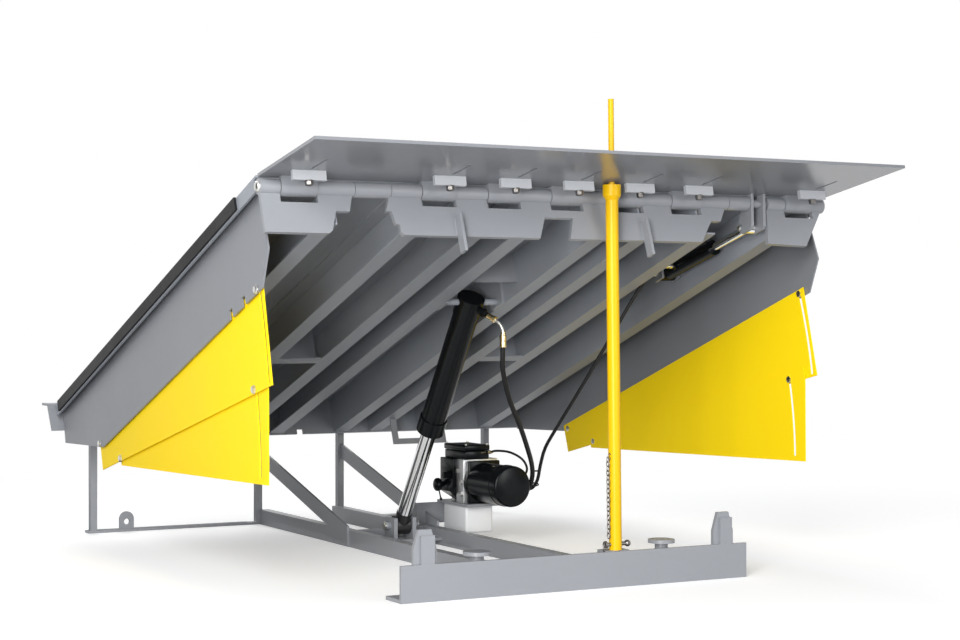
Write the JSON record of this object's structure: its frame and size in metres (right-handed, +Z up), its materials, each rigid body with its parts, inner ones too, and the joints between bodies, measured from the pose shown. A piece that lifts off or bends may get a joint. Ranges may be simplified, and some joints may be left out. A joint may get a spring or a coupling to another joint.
{
  "type": "hydraulic dock leveler, propped open on its service strut",
  "caption": "Gray hydraulic dock leveler, deck raised and lip out on a yellow service strut, with yellow toe guards, lift and lip cylinders, power pack and hoses.",
  "frame": {"origin": "on the floor, at the middle of the front angle's flange", "axes": "+X to the right seen from the lip, +Y from the lip towards the rear hinge, +Z up"},
  "size_m": [2.204, 2.7139, 1.592],
  "materials": {
    "gray_paint": "satin gray enamel",
    "yellow_paint": "gloss yellow enamel",
    "black_paint": "gloss black enamel",
    "zinc": "zinc plated",
    "chrome": "hard chrome",
    "brass": "bright",
    "alloy": "milled",
    "pale_plastic": "translucent white",
    "black_rubber": "matt"
  },
  "bodies": {
    "leveler": {"front_angle": "gray_paint", "lip_keepers": "gray_paint", "bumper_stands": "gray_paint", "frame_rail_left": "gray_paint", "frame_rail_right": "gray_paint", "frame_brace_left": "gray_paint", "frame_brace_right": "gray_paint", "rear_posts": "gray_paint", "rear_base_bars": "gray_paint", "lifting_eyes": "gray_paint", "rear_hinge_beam": "gray_paint", "cylinder_clevis": "gray_paint", "strut_socket": "gray_paint", "strut_tube": "yellow_paint", "strut_rod": "yellow_paint", "strut_pin": "zinc", "pump_bracket": "gray_paint", "pump_motor": "black_paint", "pump_manifold": "alloy", "control_box": "black_paint", "pump_valve": "black_paint", "pump_tank": "pale_plastic", "pump_ports": "zinc", "lift_barrel": "black_paint", "lift_rod": "chrome", "lift_pins": "zinc", "lift_fitting": "brass", "lift_hose": "black_rubber", "lip_fitting": "zinc", "lip_hose": "black_rubber", "deck_plate": "gray_paint", "deck_beams": "gray_paint", "deck_stiffeners": "gray_paint", "deck_rear_plate": "gray_paint", "hose_strap": "gray_paint", "cylinder_brackets": "gray_paint", "header_plate": "gray_paint", "header_tubes": "gray_paint", "hinge_pin": "zinc", "side_skirt_left": "gray_paint", "side_skirt_right": "gray_paint", "side_seals": "black_rubber", "rear_hinge_tube": "gray_paint", "lip_plate": "gray_paint", "lip_knuckles": "gray_paint", "lip_stops": "gray_paint", "lip_lugs": "gray_paint", "lip_barrel": "black_paint", "lip_rod": "chrome", "stop_legs": "gray_paint", "guard_bolts": "zinc"},
    "upper_guard_left": {"toe_guard_upper_left": "yellow_paint", "guard_links_left": "zinc"},
    "upper_guard_right": {"toe_guard_upper_right": "yellow_paint", "guard_links_right": "zinc"},
    "lower_guard_left": {"toe_guard_lower_left": "yellow_paint"},
    "lower_guard_right": {"toe_guard_lower_right": "yellow_paint"}
  },
  "joints": [
    {"name": "upper_guard_left_hinge", "type": "hinge", "parent": "leveler", "child": "upper_guard_left", "pos_m": [-1.031, 1.74335, 0.40084], "axis": [-1, 0, 0], "range_deg": [0, 9]},
    {"name": "lower_guard_left_hinge", "type": "hinge", "parent": "upper_guard_left", "child": "lower_guard_left", "pos_m": [-1.022, 1.5228, 0.35802], "axis": [-1, 0, 0], "range_deg": [0, 10.5]},
    {"name": "upper_guard_right_hinge", "type": "hinge", "parent": "leveler", "child": "upper_guard_right", "pos_m": [1.031, 1.74335, 0.40084], "axis": [-1, 0, 0], "range_deg": [0, 9]},
    {"name": "lower_guard_right_hinge", "type": "hinge", "parent": "upper_guard_right", "child": "lower_guard_right", "pos_m": [1.022, 1.5228, 0.35802], "axis": [-1, 0, 0], "range_deg": [0, 10.5]}
  ]
}
